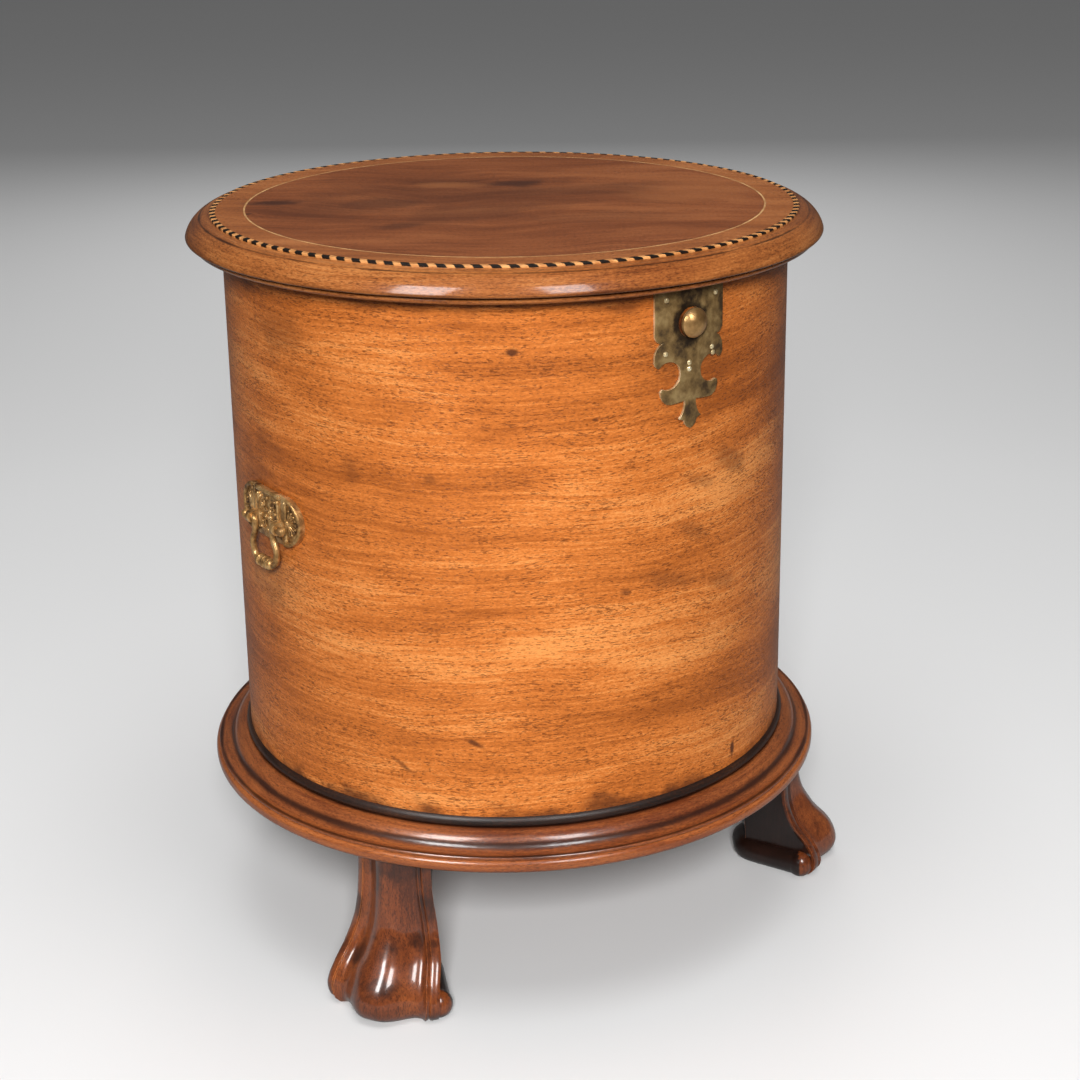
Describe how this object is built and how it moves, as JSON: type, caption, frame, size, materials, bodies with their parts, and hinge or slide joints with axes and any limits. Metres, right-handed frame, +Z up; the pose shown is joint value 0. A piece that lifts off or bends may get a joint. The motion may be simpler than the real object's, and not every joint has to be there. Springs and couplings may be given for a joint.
{
  "type": "drum cellarette",
  "caption": "Round mahogany wine cooler on carved feet with a hinged inlaid lid, a push-button latch, swinging side handles and a divided, lined inside.",
  "frame": {"origin": "on the floor, under the middle of the drum", "axes": "+Z up, the lock plate faces -Y, the hinge is at +Y, the handles are at -X and +X"},
  "size_m": [0.46, 0.4841, 0.53],
  "materials": {
    "mahogany": "old French polish, satin to gloss, worn and stained",
    "carved_mahogany": "dark polish, glossy on the raised parts",
    "mahogany_veneer": "faded satin polish with stains",
    "ebonised_wood": "dark satin",
    "light_inlay": "satin",
    "secondary_wood": "plain, unpolished",
    "zinc": "dull zinc sheet",
    "aged_brass": "dark patina, rubbed bright on the edges",
    "polished_brass": "polished by use",
    "steel": "plain steel"
  },
  "bodies": {
    "case": {"base_board": "mahogany", "base_screws": "steel", "button_bush": "aged_brass", "case_floor": "secondary_wood", "drum_shell": "mahogany", "foot_front_left": "carved_mahogany", "foot_front_right": "carved_mahogany", "foot_rear": "carved_mahogany", "foot_screws": "steel", "handle_left_pins": "aged_brass", "handle_left_plate": "aged_brass", "handle_right_pins": "aged_brass", "handle_right_plate": "aged_brass", "hinge_case_leaf": "aged_brass", "hinge_case_screws": "steel", "hinge_pin": "steel", "latch_case": "aged_brass", "latch_spring": "steel", "liner": "zinc", "lock_plate": "aged_brass", "lock_plate_pins": "aged_brass", "plinth_bead": "ebonised_wood", "plinth_moulding": "mahogany", "rack_slat_centre": "secondary_wood", "rack_slat_front": "secondary_wood", "rack_slat_left": "secondary_wood", "rack_slat_middle": "secondary_wood", "rack_slat_rear": "secondary_wood", "rack_slat_right": "secondary_wood"},
    "lid": {"lid_board": "secondary_wood", "lid_moulding": "mahogany", "lid_veneer_field": "mahogany_veneer", "lid_string_inlay": "light_inlay", "lid_veneer_border": "mahogany_veneer", "lid_rope_banding": "light_inlay", "latch_strike": "aged_brass", "strike_screws": "steel", "hinge_lid_leaf": "aged_brass", "hinge_lid_screws": "steel"},
    "button": {"push_button": "polished_brass", "latch_catch": "aged_brass"},
    "left_bail": {"handle_left_bail": "aged_brass"},
    "right_bail": {"handle_right_bail": "aged_brass"}
  },
  "joints": [
    {"name": "lid_hinge", "type": "hinge", "parent": "case", "child": "lid", "pos_m": [0, 0.2072, 0.50765], "axis": [-1, 0, 0], "range_deg": [0, 95]},
    {"name": "button_push", "type": "slide", "parent": "case", "child": "button", "axis": [0, 1, 0], "range_m": [0, 0.003], "stiffness_N_per_m": 400, "springref_m": -0.003, "deforming": ["latch_spring"]},
    {"name": "left_bail_swing", "type": "hinge", "parent": "case", "child": "left_bail", "pos_m": [-0.21, 0, 0.332], "axis": [0, 1, 0], "range_deg": [0, 165]},
    {"name": "right_bail_swing", "type": "hinge", "parent": "case", "child": "right_bail", "pos_m": [0.21, 0, 0.332], "axis": [0, -1, 0], "range_deg": [0, 165]}
  ]
}
